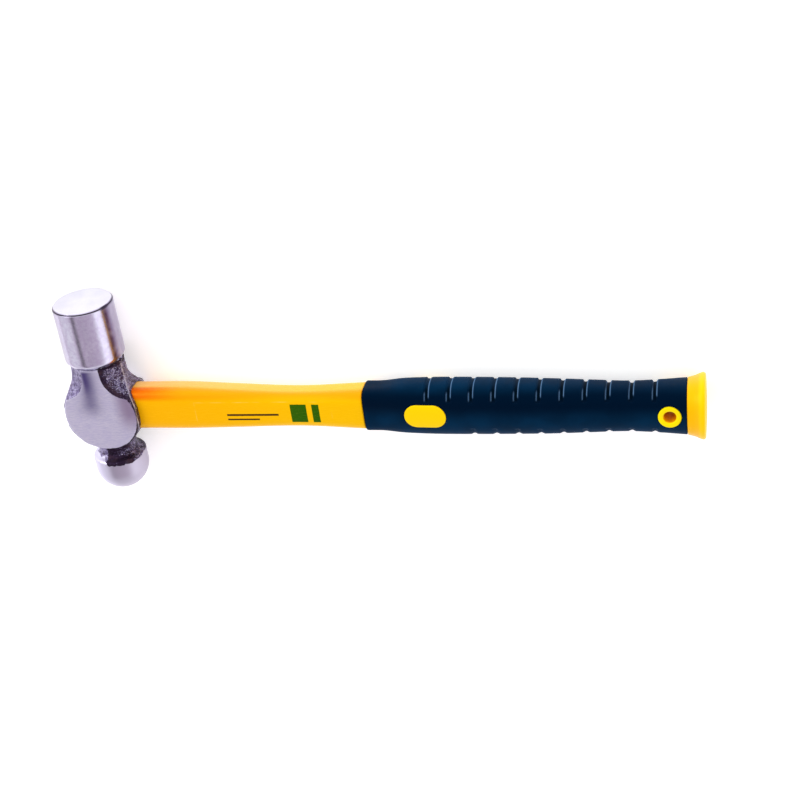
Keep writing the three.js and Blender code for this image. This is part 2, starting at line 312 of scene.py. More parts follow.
class Shader:
    """A node material, with short calls for the nodes it is made of."""

    def __init__(self, name):
        self.material = bpy.data.materials.new(name)
        self.material.use_nodes = True
        self.tree = self.material.node_tree
        self.tree.nodes.clear()
        self.surface = self.tree.nodes.new("ShaderNodeBsdfPrincipled")
        output = self.tree.nodes.new("ShaderNodeOutputMaterial")
        self.tree.links.new(self.surface.outputs[0], output.inputs[0])
        coordinates = self.tree.nodes.new("ShaderNodeTexCoord").outputs["Object"]
        shifted = self.vector("SUBTRACT", coordinates, tuple(EYE))
        self.place = self.vector("SCALE", shifted, scale=1 / MM)
        split = self.tree.nodes.new("ShaderNodeSeparateXYZ")
        self.tree.links.new(self.place, split.inputs[0])
        self.s, self.h, self.n = split.outputs

    def put(self, socket, value):
        if isinstance(value, bpy.types.NodeSocket):
            self.tree.links.new(value, socket)
        elif isinstance(value, tuple) and len(socket.default_value) == 4:
            socket.default_value = (*value, 1)
        else:
            socket.default_value = value

    def set(self, **values):
        for name, value in values.items():
            self.put(self.surface.inputs[name.replace("_", " ")], value)

    def math(self, operation, *values):
        node = self.tree.nodes.new("ShaderNodeMath")
        node.operation = operation
        for socket, value in zip(node.inputs, values):
            self.put(socket, value)
        return node.outputs[0]

    def times(self, a, b):
        return self.math("MULTIPLY", a, b)

    def inverse(self, share):
        return self.math("SUBTRACT", 1.0, share)

    def centred(self, noise_value):
        """Noise shifted to go either way from nought."""
        return self.math("SUBTRACT", noise_value, 0.5)

    def vector(self, operation, *values, scale=None):
        node = self.tree.nodes.new("ShaderNodeVectorMath")
        node.operation = operation
        for socket, value in zip(node.inputs, values):
            self.put(socket, value)
        if scale is not None:
            node.inputs["Scale"].default_value = scale
        return node.outputs[0]

    def ramp(self, value, low, high, to_low=0.0, to_high=1.0):
        """Smooth step of a value between two of its levels."""
        node = self.tree.nodes.new("ShaderNodeMapRange")
        node.interpolation_type = "SMOOTHSTEP"
        for socket, v in zip(node.inputs, (value, low, high, to_low, to_high)):
            self.put(socket, v)
        return node.outputs[0]

    def mix(self, share, a, b):
        node = self.tree.nodes.new("ShaderNodeMix")
        node.data_type = "RGBA"
        for socket, value in zip((node.inputs[0], node.inputs[6], node.inputs[7]), (share, a, b)):
            self.put(socket, value)
        return node.outputs[2]

    def blend(self, share, a, b):
        """Plain number between a and b."""
        node = self.tree.nodes.new("ShaderNodeMix")
        for socket, value in zip(node.inputs[:4], (share, None, a, b)):
            if value is not None:
                self.put(socket, value)
        return node.outputs[0]

    def grain(self, size, detail=3.0, stretch=(1, 1, 1), roughness=0.5):
        """Noise with grains of a size in mm, stretched along each axis."""
        scaled = self.vector("MULTIPLY", self.place, tuple(1 / (size * k) for k in stretch))
        node = self.tree.nodes.new("ShaderNodeTexNoise")
        node.inputs["Scale"].default_value = 1
        node.inputs["Detail"].default_value = detail
        node.inputs["Roughness"].default_value = roughness
        self.put(node.inputs["Vector"], scaled)
        return node.outputs["Fac"]

    def cells(self, size):
        """Distance from the middle of the nearest cell, with cells of a size in mm."""
        scaled = self.vector("SCALE", self.place, scale=1 / size)
        node = self.tree.nodes.new("ShaderNodeTexVoronoi")
        node.inputs["Scale"].default_value = 1
        self.put(node.inputs["Vector"], scaled)
        return node.outputs["Distance"]

    def off_axis(self, s, h):
        """Distance from a line that runs along n."""
        across, along = self.math("SUBTRACT", self.s, s), self.math("SUBTRACT", self.h, h)
        square = self.math("MULTIPLY_ADD", across, across, self.times(along, along))
        return self.math("SQRT", square)

    def layer(self, name):
        """A value painted on the mesh."""
        node = self.tree.nodes.new("ShaderNodeAttribute")
        node.attribute_name = name
        return node.outputs["Fac"]

    def edge_share(self, low=0.52, high=0.6):
        """Share of an edge that sticks out, read from the mesh's pointiness."""
        node = self.tree.nodes.new("ShaderNodeNewGeometry")
        return self.ramp(node.outputs["Pointiness"], low, high)

    def bump(self, *layers):
        """Bumps one on another, each (height, strength, depth in mm)."""
        normal = None
        for height, strength, depth in layers:
            node = self.tree.nodes.new("ShaderNodeBump")
            self.put(node.inputs["Height"], height)
            self.put(node.inputs["Strength"], strength)
            node.inputs["Distance"].default_value = depth * MM
            if normal is not None:
                self.tree.links.new(normal, node.inputs["Normal"])
            normal = node.outputs[0]
        self.put(self.surface.inputs["Normal"], normal)


def steel():
    """Polished poll and ball, ground cheeks, and rough forged skin everywhere else."""
    m = Shader("steel")
    fray = m.centred(m.grain(0.7, 4))
    polished = m.ramp(m.math("MULTIPLY_ADD", fray, 0.5, m.layer("polish")), 0.42, 0.6)
    out = m.math("ABSOLUTE", m.n)
    level = m.times(m.ramp(out, CHEEK - 0.1, CHEEK - 0.02), m.math("LESS_THAN", out, CHEEK + 0.05))
    level = m.times(level, m.math("GREATER_THAN", m.h, -CHEEK_RADIUS - 0.2))
    cheek = m.times(level, m.inverse(polished))

    # Forged skin: dark scale, which also carries painted shade, broken by bare metal, with painted
    # glints on the handle side and a lighter line along the ridges.
    bare_dark, bare_light, glint_light = (0.15, 0.12, 0.24), (0.36, 0.32, 0.5), (0.7, 0.65, 0.78)
    scale_and_shade_black, rust, ridge_line_light = (0.022, 0.012, 0.028), (0.12, 0.07, 0.07), (0.72, 0.68, 0.78)
    speckle = m.grain(0.5, 2, roughness=0.6)
    cover = m.math("MULTIPLY_ADD", m.centred(speckle), 2.4, m.layer("scale"))
    cover = m.math("MULTIPLY_ADD", m.centred(m.grain(3, 4)), 0.9, cover)
    bare = m.mix(m.ramp(m.grain(1.9, 4), 0.35, 0.65), bare_dark, bare_light)
    # Painted glints: light specks on the handle side only.
    glints = m.times(m.ramp(m.grain(0.6, 1), 0.58, 0.68), m.ramp(m.s, 3, 6))
    bare = m.mix(glints, bare, glint_light)
    forged = m.mix(m.ramp(cover, 0.3, 0.62), bare, scale_and_shade_black)
    rusty = m.times(m.ramp(m.grain(6, 3), 0.5, 0.7), 0.25)
    forged = m.mix(rusty, forged, rust)
    forged = m.mix(m.times(m.layer("ridge"), 0.85), forged, ridge_line_light)

    # Ground cheeks: brushed along the handle, with a dark streak up the strip and a darker plum
    # patch by the handle.
    ground_dark, ground_light = (0.61, 0.59, 0.8), (0.8, 0.77, 0.91)
    ground_blue = (0.66, 0.62, 0.86)
    burnt_blue, burnt_plum = (0.08, 0.055, 0.21), (0.29, 0.19, 0.33)
    brushing = m.grain(0.34, 4, (8, 1, 1), 0.7)
    ground = m.mix(m.ramp(brushing, 0.3, 0.7), ground_dark, ground_light)
    clouds = m.times(m.ramp(m.grain(7, 4), 0.4, 0.7), 0.3)
    ground = m.mix(clouds, ground, ground_blue)
    burnt = m.mix(m.ramp(m.s, 0, 9), burnt_blue, burnt_plum)
    ground = m.mix(m.layer("burn"), ground, burnt)

    # Polished ends, turned round the h axis.
    mirror_dark, mirror_light = (0.53, 0.5, 0.64), (0.6, 0.57, 0.7)
    turned_dark, mottle_dark = (0.44, 0.4, 0.55), (0.46, 0.39, 0.56)
    shade_violet, shade_brown = (0.09, 0.05, 0.14), (0.07, 0.035, 0.07)
    rim_shade_grey = (0.035, 0.028, 0.045)
    ball_lit, ball_shaded = (0.66, 0.63, 0.8), (0.46, 0.42, 0.53)
    face_dark, face_light = (0.62, 0.61, 0.69), (0.7, 0.69, 0.75)
    wide = m.ramp(m.grain(14, 3), 0.3, 0.7)
    turned = m.grain(0.3, 3, (20, 1, 20), 0.6)
    mirror = m.mix(wide, mirror_dark, mirror_light)
    mirror = m.mix(m.times(turned, 0.3), mirror, turned_dark)
    mottling = m.times(m.ramp(m.grain(2.2, 3), 0.4, 0.65), 0.45)
    mirror = m.mix(mottling, mirror, mottle_dark)
    # Painted reflections of shade on the poll: a dark violet and brown streak, darker edges, and a
    # dark line round the face's bevel.
    poll_shade = m.mix(m.ramp(m.n, 4.6, 6.4), shade_violet, shade_brown)
    mirror = m.mix(m.layer("shade"), mirror, poll_shade)
    # Painted shade: the line round the face's bevel goes dark grey.
    edge = m.times(m.layer("shade"), m.math("GREATER_THAN", m.h, FACE_AT - FACE_BEVEL - 0.5))
    mirror = m.mix(edge, mirror, rim_shade_grey)
    # Painted shade: the ball is lighter on the free side and darker towards the handle.
    ball = m.math("LESS_THAN", m.h, 0.0)
    mirror = m.mix(ball, mirror, m.mix(m.ramp(m.s, -10, 4), ball_lit, ball_shaded))
    # Painted highlight: the striking face is a lighter steel than the rest of the poll.
    face = m.math("GREATER_THAN", m.h, FACE_AT - 0.1)
    mirror = m.mix(face, mirror, m.mix(wide, face_dark, face_light))

    poll_gloss = m.ramp(turned, 0.3, 0.8, 0.15, 0.24)
    ball_gloss = m.ramp(turned, 0.3, 0.8, 0.36, 0.46)
    shine = m.blend(polished, m.blend(cheek, 0.42, 0.38), m.blend(ball, poll_gloss, ball_gloss))
    color = m.mix(polished, m.mix(cheek, forged, ground), mirror)
    m.set(Base_Color=color, Metallic=1.0, Roughness=shine)
    barrel = m.times(polished, m.ramp(m.h, FACE_AT - 1.2, FACE_AT - 3))
    barrel = m.times(barrel, m.inverse(ball))
    rugged = m.inverse(m.math("MAXIMUM", polished, cheek))
    m.bump(
        (m.times(m.grain(0.8, 5, roughness=0.65), rugged), 0.7, 0.5),
        (m.times(speckle, rugged), 0.7, 0.2),
        (m.times(m.cells(0.6), rugged), 0.6, 0.2),
        (m.times(brushing, cheek), 0.3, 0.03),
        (m.times(turned, polished), 0.25, 0.02),
        (m.times(m.grain(2.4, 3), barrel), 0.6, 0.07),
    )
    return m.material


def jacket_plastic():
    """Glossy amber plastic, a little more orange by the head, with painted shade round its upper
    front edge that turns orange by the head, a painted highlight along its top, and a plain
    printed mark on the front.
    """
    m = Shader("jacket_plastic")
    amber_by_head, amber_by_grip = (0.88, 0.41, 0.0), (0.88, 0.48, 0.0)
    amber_cloud, amber_shade, orange = (0.86, 0.43, 0.0), (0.82, 0.27, 0.0), (0.78, 0.11, 0.0)
    top_highlight_by_head, top_highlight_by_grip = (0.88, 0.45, 0.11), (0.88, 0.47, 0.025)
    along = m.ramp(m.s, 20, 140)
    amber = m.mix(along, amber_by_head, amber_by_grip)
    amber = m.mix(m.times(m.grain(26, 2), 0.3), amber, amber_cloud)
    # Painted shade: deeper colour round the upper front edge, orange most of all by the head.
    # Painted highlight: a pale top.
    edge = m.times(m.ramp(m.h, 6.6, 10.2), m.ramp(m.n, 0.5, 3.5))
    color = m.mix(m.times(edge, 0.75), amber, amber_shade)
    orange_shade_by_head = m.times(m.ramp(m.s, 52, 18), edge)
    color = m.mix(m.times(orange_shade_by_head, 0.95), color, orange)
    # Painted highlight along the top.
    pale = m.mix(along, top_highlight_by_head, top_highlight_by_grip)
    pale_from, pale_full = m.ramp(m.s, 20, 110, 3.2, 5.0), m.ramp(m.s, 20, 110, -0.5, 0.8)
    top = m.times(m.ramp(m.h, 8.5, 10), m.ramp(m.n, pale_from, pale_full))
    color = m.mix(top, color, pale)
    speck = m.math("GREATER_THAN", m.grain(0.5, 2), 0.78)
    color = m.mix(m.times(speck, 0.25), color, (0.35, 0.2, 0.02))

    # The print: two green blocks, two dark rules, and a painted highlight round the edge of its
    # clear film.
    front = m.math("GREATER_THAN", m.n, 0.0)
    fray = m.times(m.centred(m.grain(0.6, 3)), 0.25)

    def block(low_s, high_s, low_h, high_h):
        off_s = m.math("ABSOLUTE", m.math("ADD", m.s, -(low_s + high_s) / 2))
        off_h = m.math("ABSOLUTE", m.math("ADD", m.h, -(low_h + high_h) / 2))
        past_s = m.math("ADD", off_s, -(high_s - low_s) / 2)
        past_h = m.math("ADD", off_h, -(high_h - low_h) / 2)
        past = m.math("ADD", m.math("MAXIMUM", past_s, past_h), fray)
        return m.times(m.ramp(past, 0.08, -0.08), front)

    green = m.math("MAXIMUM", block(108, 117, -6, 5), block(120, 124, -6, 5))
    rule = m.math("MAXIMUM", block(72, 101, -1.9, -0.7), block(72, 90, -4.6, -3.6))
    # Painted highlight round the clear film's edge.
    film = m.math("SUBTRACT", block(54, 131, -9, 6.6), block(54.4, 130.6, -8.6, 6.2))
    film = m.times(film, m.ramp(m.grain(9, 3), 0.4, 0.62, 0.0, 0.45))
    ink = m.ramp(m.grain(0.35, 3), 0.25, 0.4, 0.82, 1.0)
    film_highlight_colour = (0.9, 0.62, 0.12)
    green_ink, black_ink = (0.006, 0.09, 0.0005), (0.035, 0.012, 0.006)
    color = m.mix(film, color, film_highlight_colour)
    color = m.mix(m.times(green, ink), color, green_ink)
    color = m.mix(m.times(rule, ink), color, black_ink)
    scuffs = m.grain(0.4, 4, (14, 1, 1), 0.7)
    m.set(Base_Color=color, Roughness=m.ramp(scuffs, 0.35, 0.8, 0.2, 0.36))
    m.set(Specular_IOR_Level=0.6, Specular_Tint=(1.0, 0.8, 0.06))
    printed = m.math("MAXIMUM", green, rule)
    m.bump((m.grain(7, 2), 0.5, 0.12), (scuffs, 0.18, 0.02), (printed, 0.5, 0.02))
    return m.material


def grip_rubber():
    """Soft navy rubber with a fine satin texture, painted shade across its upper front, painted
    highlights on the grooves' lips, and painted shade in the grooves and at the sleeve's start.
    """
    m = Shader("grip_rubber")
    navy_dark, navy_light = (0.0002, 0.0115, 0.034), (0.0006, 0.0175, 0.05)
    navy_shade, pit_black = (0.0001, 0.0025, 0.011), (0.0001, 0.001, 0.003)
    lip_highlight_blue = (0.1, 0.2, 0.36)
    cloudy = m.grain(16, 4)
    navy = m.mix(m.ramp(cloudy, 0.35, 0.65), navy_dark, navy_light)
    # Painted shade: darker across the upper front.
    upper_front_shade = m.times(m.ramp(m.h, -5, 6), m.ramp(m.h, 15.5, 10))
    navy = m.mix(m.times(upper_front_shade, 0.95), navy, navy_shade)
    # Painted highlights on the grooves' lips, and painted shade in the grooves and at the sleeve's
    # start.
    color = m.mix(m.times(m.layer("lip"), 0.9), navy, lip_highlight_blue)
    color = m.mix(m.layer("pit"), color, pit_black)
    m.set(Base_Color=color, Specular_IOR_Level=0.08, Specular_Tint=(0.02, 0.45, 1.0))
    m.set(Sheen_Weight=0.08, Sheen_Roughness=0.4, Sheen_Tint=(0.02, 0.35, 0.9))
    m.set(Roughness=m.ramp(cloudy, 0.3, 0.7, 0.55, 0.66))
    m.bump((cloudy, 0.3, 0.3), (m.grain(0.35, 3, roughness=0.6), 0.35, 0.05))
    return m.material


def trim_plastic():
    """Satin lemon-yellow plastic of the cap, the eyelet and the inlays, with the cap painted a
    shaded amber, a painted highlight on its rim, and painted shade inside the hang hole.
    """
    m = Shader("trim_plastic")
    cap_shaded_amber, rim_highlight_yellow = (0.88, 0.44, 0.0), (0.9, 0.58, 0.0002)
    inlay_yellow, eyelet_yellow = (0.9, 0.6, 0.0002), (0.9, 0.74, 0.0004)
    cloud_yellow, hole_shade_orange = (0.9, 0.53, 0.0), (0.85, 0.33, 0.0)
    edge_yellow = (0.95, 0.68, 0.004)
    # Painted shade: the cap is a darker amber than the eyelet and the inlays. Painted highlight: a
    # lighter yellow rim.
    rim = m.ramp(m.s, BUTT_AT - 4.2, BUTT_AT - 2.2)
    from_hole = m.off_axis(HOLE_S, HOLE_H)
    ring = m.math("LESS_THAN", from_hole, EYELET_RADIUS + 0.1)
    cap = m.math("GREATER_THAN", m.s, CAP_AT - 0.1)
    color = m.mix(cap, m.mix(ring, inlay_yellow, eyelet_yellow), m.mix(rim, cap_shaded_amber, rim_highlight_yellow))
    color = m.mix(m.times(m.grain(9, 3), 0.25), color, cloud_yellow)
    # Painted shade inside the hang hole.
    hole_shade = m.ramp(from_hole, HOLE_RADIUS + 0.3, HOLE_RADIUS + 0.02)
    color = m.mix(hole_shade, color, hole_shade_orange)
    # Lighter yellow on sharp convex edges.
    color = m.mix(m.times(m.edge_share(0.52, 0.6), 0.4), color, edge_yellow)
    fine = m.grain(0.4, 3, roughness=0.6)
    m.set(Base_Color=color, Roughness=m.ramp(fine, 0.3, 0.8, 0.3, 0.44))
    m.set(Specular_IOR_Level=0.5, Specular_Tint=(1.0, 0.85, 0.08))
    m.bump((m.grain(5, 2), 0.4, 0.1), (fine, 0.3, 0.03))
    return m.material


def fibreglass():
    """Sawn end of a pultruded rod: pale resin full of glass fibres."""
    m = Shader("fibreglass")
    strands = m.grain(0.35, 4, (40, 1, 1), 0.7)
    color = m.mix(strands, (0.42, 0.33, 0.14), (0.72, 0.64, 0.4))
    m.set(Base_Color=color, Roughness=m.ramp(strands, 0.3, 0.7, 0.45, 0.7))
    m.bump((strands, 0.6, 0.15))
    return m.material


def epoxy():
    """Amber bond, with a few bubbles."""
    m = Shader("epoxy")
    cloudy = m.grain(3, 3)
    bubbles = m.cells(1.1)
    color = m.mix(cloudy, (0.2, 0.12, 0.04), (0.34, 0.24, 0.1))
    m.set(Base_Color=color, Roughness=m.ramp(cloudy, 0.3, 0.7, 0.16, 0.3))
    m.bump((cloudy, 0.5, 0.3), (m.ramp(bubbles, 0.1, 0.3), 0.4, 0.1))
    return m.material


def dam_foam():
    """Black foam, full of small cells."""
    m = Shader("dam_foam")
    cells = m.cells(0.5)
    m.set(Base_Color=m.mix(cells, (0.01, 0.01, 0.01), (0.05, 0.05, 0.055)))
    m.set(Roughness=m.ramp(cells, 0.1, 0.6, 0.8, 0.95))
    m.bump((cells, 0.6, 0.2))
    return m.material


def backdrop_paper():
    """White paper, lit from behind a little."""
    m = Shader("backdrop_paper")
    fibres = m.grain(1.5, 4)
    m.set(Base_Color=m.mix(fibres, (0.86, 0.86, 0.86), (0.9, 0.9, 0.9)), Roughness=0.9)
    m.set(Specular_IOR_Level=0.1, Emission_Color=(1.0, 1.0, 1.0), Emission_Strength=0.37)
    return m.material


STEEL = steel()
TRIM = trim_plastic()

# ---- Head ----

SHAFT = smooth_table([
    [17, 12.25, 8.2, 4.2, 0.6],
    [50, 12.25, 8.2, 4.2, 0.6],
    [75, 11.3, 8, 4.2, 0.3],
    [113, 10.2, 7.7, 4, 0],
    [148.5, 11.7, 8.5, 4, 0],
])
EYE_SECTION = smooth_table([
    [-24, 11.8, 7.9, 3, 0],
    [-6, 10.4, 6.8, 3, 0],
    [6, 10.3, 6.7, 3, 0],
    [24, 10.9, 7.1, 3, 0],
])
# Height, half width of the forged block and how far its ridge stands from the middle plane.
RIDGE = smooth_table([
    [-20.5, 8, 9.8],
    [-19, 10.8, 10.8],
    [-14, 16.6, 11.4],
    [-8, 20.3, 11.4],
    [0, 21.3, 11.4],
    [5, 21.1, 11],
    [9, 20.1, 10.2],
    [12, 18.7, 8.7],
    [15, 17.5, 6.7],
    [18, 16.3, 4.7],
    [21, 15.6, 3.4],
    [25, 15.3, 3],
    [34, 15.3, 3],
])
STRIP_HALF_WIDTH = 5.2
STRIP_FILLET_TOP = 25
STRIP_FILLET = 14.3
STRIP_LEAVES_DISC = 14.6
POLL_RADIUS = -HEAD_LOW[2]
POLL_FOOT = 30
FOOT_ROUND = 3.6
FOOT_ARC_FROM = 31.25
PEEN_RADIUS = 14.8
PEEN_CENTRE = HEAD_LOW[1] + PEEN_RADIUS
PEEN_SHOULDER = -28.3
SHOULDER_ROUND = 2
NECK_TOP = -17.2
SEAT_FLOOR = 17
BLOCK_TOP = 30.9
HANDLE_SIDE_REACH, FREE_SIDE_REACH = 21.3, 20.9
STREAK_AT = -3.8  # s of the dark streak up the cheek
SHADE_STREAK_AT = 24  # degrees round the poll of the painted dark reflection streak, from the handle's side towards the front


def cheek_half_width(h):
    disc = np.sqrt(np.clip(CHEEK_RADIUS**2 - h**2, 0, None))
    below = np.clip(STRIP_FILLET_TOP - h, 0, STRIP_FILLET)
    flare = STRIP_FILLET - np.sqrt(STRIP_FILLET**2 - below**2)
    strip = STRIP_HALF_WIDTH + flare
    flared = np.where(h > STRIP_LEAVES_DISC, strip, np.minimum(disc, strip))
    return np.where(STRIP_FILLET_TOP - h >= STRIP_FILLET, disc, flared)


def poll_radius(h):
    centre = POLL_FOOT + FOOT_ROUND + 0.6
    inner = POLL_RADIUS - FOOT_ROUND
    below = np.clip(centre - h, 0, FOOT_ROUND)
    rim = inner + np.sqrt(np.clip(FOOT_ROUND**2 - below**2, 0, None))
    foot_at = [POLL_FOOT - 4, POLL_FOOT, FOOT_ARC_FROM]
    foot = np.interp(h, foot_at, [inner - 5.2, inner + 1.2, inner + 2.06])
    rim = np.where(h < FOOT_ARC_FROM, foot, rim)
    bevel = POLL_RADIUS + (FACE_AT - FACE_BEVEL - h)
    return soft_min(np.minimum(rim, POLL_RADIUS), np.minimum(bevel, POLL_RADIUS + 2), 0.35)


def peen_radius(h):
    ball = np.sqrt(np.clip(PEEN_RADIUS**2 - np.clip(PEEN_CENTRE - h, 0, None) ** 2, 0, None))
    band_top = PEEN_SHOULDER - SHOULDER_ROUND
    over = np.clip(h - band_top, 0, SHOULDER_ROUND)
    shoulder = PEEN_RADIUS - SHOULDER_ROUND + np.sqrt(SHOULDER_ROUND**2 - over**2)
    neck_at = [PEEN_SHOULDER, -27.6, -26.1, -22, -19.5, NECK_TOP]
    neck = np.interp(h, neck_at, [12.8, 11.7, 10.7, 10.5, 11.3, 12.9])
    return np.where(h < band_top, ball, np.where(h < PEEN_SHOULDER, shoulder, neck))


def hammer_head():
    """One skin round the h axis, so that the forged ridges and the ground edges follow it."""
    side, facet, cheek = 18, 22, 34
    quarter = side + facet + cheek
    # Rows of points, closer together where the shape changes faster.
    latitude = np.linspace(np.pi / 2 - 0.03, 0, 34, endpoint=False)
    bevel_from = FACE_AT - FACE_BEVEL - 0.6
    ends = [PEEN_CENTRE, PEEN_SHOULDER - SHOULDER_ROUND, -17, 9, 28, 36, bevel_from]
    counts = [14, 48, 52, 56, 32, 20]
    rows = [PEEN_CENTRE - PEEN_RADIUS * np.sin(latitude)]
    for low, high, count in zip(ends, ends[1:], counts):
        rows.append(np.linspace(low, high, count, endpoint=False))
    rows.append(np.linspace(ends[-1], FACE_AT, 12))
    h = np.concatenate(rows)[:, None]
    wide = cheek_half_width(h)
    ridge = RIDGE(h[:, 0])
    ridge_s, ridge_n = ridge[:, 0, None], ridge[:, 1, None]

    # Angles of the columns in one quarter: along the side, the forged facet, then the cheek.
    guide = np.maximum(wide, 2.6)
    along = np.linspace(0, 1, side, endpoint=False)
    side_angle = np.arctan2(ridge_n * along, ridge_s)
    along = np.linspace(0, 1, facet, endpoint=False)
    facet_n = ridge_n + (CHEEK - ridge_n) * along
    facet_angle = np.arctan2(facet_n, ridge_s + (guide - ridge_s) * along)
    along = np.linspace(0, 1, cheek, endpoint=False)
    cheek_angle = np.arctan2(np.full_like(guide, CHEEK), guide * (1 - along))
    featured = np.concatenate([side_angle, facet_angle, cheek_angle], 1)
    even = np.broadcast_to(np.linspace(0, np.pi / 2, quarter, endpoint=False), featured.shape)
    share = step(29, 33, h) + step(-23.5, -27, h)
    first = featured * (1 - share) + even * share
    first = np.concatenate([first, np.full((len(h), 1), np.pi / 2)], 1)
    second = np.pi - first[:, -2::-1]
    half = np.concatenate([first, second], 1)[:, :-1]
    angle = np.concatenate([half, half + np.pi], 1)
    cos, sin = np.cos(angle), np.sin(angle)

    # The forged block as planes, then the turned ends.
    reach = np.where(cos > 0, HANDLE_SIDE_REACH, FREE_SIDE_REACH)
    side_s = np.minimum(ridge_s, reach)
    normal = np.stack([CHEEK - ridge_n + 0 * side_s, np.maximum(side_s - wide, 0.05)], -1)
    distance = normal[..., 0] * side_s + normal[..., 1] * ridge_n
    facing = normal[..., 0] * np.abs(cos) + normal[..., 1] * np.abs(sin)
    sides = side_s / np.maximum(np.abs(cos), 1e-3)
    facets = distance / facing
    block = soft_min(np.minimum(sides, 60), np.minimum(facets, 60), 0.9)
    block = block - 2.2 * np.clip(-20.5 - h, 0, None) - 30 * np.clip(-23 - h, 0, 1)
    block = block - 30 * np.clip(h - BLOCK_TOP, 0, 1)
    peen, poll = peen_radius(h), poll_radius(h)
    turned = np.where(h < 0, peen, poll)
    turned = np.where((h > NECK_TOP) & (h < 20), 0, turned)

    bare = np.maximum(block, turned)
    points = np.stack([bare * cos, h + 0 * cos, bare * sin], -1)
    hammered = 0.16 * rough(points, 3.4, 3, 1) + 0.1 * rough(points, 1.1, 3, 2)
    forged = step(-31.6, -30.6, h) * step(32.4, 31, h)
    radius = soft_max(block + hammered * forged, turned + hammered * forged, 0.7)
    flat = np.where(h < 31, CHEEK / np.maximum(np.abs(sin), 1e-3), 99)
    turned_out = np.where((h > 27) | (h < -20.7), turned + hammered * forged, 0)
    radius = np.maximum(np.minimum(radius, flat), turned_out)
    grid = np.stack([radius * cos, h + 0 * cos, radius * sin], -1)

    rings = [grid[-1] * [k, 1, k] for k in (0.985, 0.93, 0.8, 0.6, 0.4, 0.2)]
    grid = np.concatenate([grid, np.stack(rings)])
    head = closed_loft("head", grid)
    eye = oval_bar("eye_tool", np.linspace(-24, 24, 33), EYE_SECTION, 96)
    seat = oval_bar("seat_tool", np.array([SEAT_FLOOR, SEAT_FLOOR + 10.0]), SHAFT, 128, GAP)
    return paint_head(cut(head, eye, seat))


def cheek_slope(h):
    """How fast the cheek's half width changes along h."""
    table = np.linspace(-21, 34, 400)
    spacing = table[1] - table[0]
    slope = np.gradient(cheek_half_width(table), spacing)
    return slope[np.clip(((h - table[0]) / spacing).astype(int), 0, len(table) - 1)]


def paint_head(head):
    """Says where the steel is polished or scaled, where painted shade darkens it, where the ridges
    are lighter, where the cheek's dark streak runs, and where painted dark reflections lie on the
    poll and round its face.
    """
    points = places(head)
    s, h, n = points.T
    out = np.abs(n)
    turn = np.degrees(np.arctan2(out, s))
    wander = rough(points, 3.2, 3, 5)
    ball_to = -31.0 + 0.8 * wander + 3.6 * step(92, 112, turn) + 1.2 * step(30, 8, turn)
    poll_from = BLOCK_TOP + 0.35 * wander
    polish = np.maximum(step(-0.3, 0.3, h - poll_from), step(-0.3, 0.3, ball_to - h))

    # Dark forge scale, with painted shade laid into it: thin on the free side, darker on the
    # handle side, beside the cheek's edge, below the poll and round the neck.
    ridge = RIDGE(h)
    handle_side = step(0, 4, s)
    off_edge = (np.abs(s) - cheek_half_width(h)) / np.sqrt(1 + cheek_slope(h) ** 2)
    facet = step(-0.4, 0.4, off_edge) * step(0.3, -0.5, np.abs(s) - ridge[:, 0])
    edge_band = bell(np.clip(off_edge - 1.0, 0, None), 1.3)
    # Painted shade: darker on the handle side, most on its facet along the cheek's edge and under
    # the poll's foot.
    scale = 0.2 + 0.2 * handle_side
    scale = scale + handle_side * facet * (0.12 + 0.4 * edge_band + 0.4 * step(27.2, 28.8, h))
    # Scale and painted shade round the front of the neck, lighter in a band across its middle.
    neck = step(-17.5, -20.5, h) * step(108, 97, turn)
    neck_lighter_band = bell(h + 25, 1.6) * bell(turn - 55, 18) * 0.4
    scale = np.maximum(scale, neck * (0.5 + 0.42 * step(20, 50, turn) - neck_lighter_band))
    # Painted shadow under the poll's foot, on the handle side.
    scale = np.maximum(scale, 0.75 * step(27.8, 29.2, h) * step(3, 6, s))

    # A lighter line along the forged ridges, on the handle side only.
    crest = np.hypot(np.abs(s) - ridge[:, 0], out - ridge[:, 1])
    bright = bell(crest, 0.42) * step(-10, -4, h) * step(30, 27, h) * handle_side
    bright = bright * np.clip(0.75 + 0.6 * rough(points, 2.4, 2, 8), 0, 1)

    # A dark streak up the cheek, and a darker plum patch by the handle.
    past_middle = s - STREAK_AT
    left = bell(np.clip(past_middle, None, 0), 2.2 + 0.28 * np.clip(20 - h, 0, 20))
    right = bell(np.clip(past_middle, 0, None), 5.4)
    streak = left * right * (0.65 * step(-4, 9, h) + 0.3 * step(9, 23, h)) * step(29.2, 27, h)
    warm = 0.75 * step(7, 17, s) * step(-13, 3, h)

    # Painted dark reflections along the poll and at its two edges, and a painted dark line round
    # its face's bevel.
    barrel = step(30, 33, h) * (h < FACE_AT - 0.2)
    streaky = 1 - 0.3 * np.abs(rough(points, 7, 2, 9))
    past_shade_streak = np.degrees(np.arctan2(n, s)) - SHADE_STREAK_AT
    shade = np.where(past_shade_streak > 0, bell(past_shade_streak, 7.5), bell(past_shade_streak, 16)) * streaky
    shade = barrel * np.maximum(shade, 0.33 * step(20, 8, turn) + 0.33 * step(116, 142, turn))
    line_from, line_to = FACE_AT - FACE_BEVEL, FACE_AT - 0.5
    rim = step(line_from - 0.02, line_from + 0.13, h) * step(line_to + 0.1, line_to - 0.05, h)
    shade = np.clip(np.maximum(shade, rim), 0, 1)
    burn = np.maximum(streak, warm)
    return paint(head, polish=polish, scale=scale, ridge=bright, burn=burn, shade=shade)


finished(hammer_head(), "hammer_head", STEEL, 50)

# ---- Jacket ----

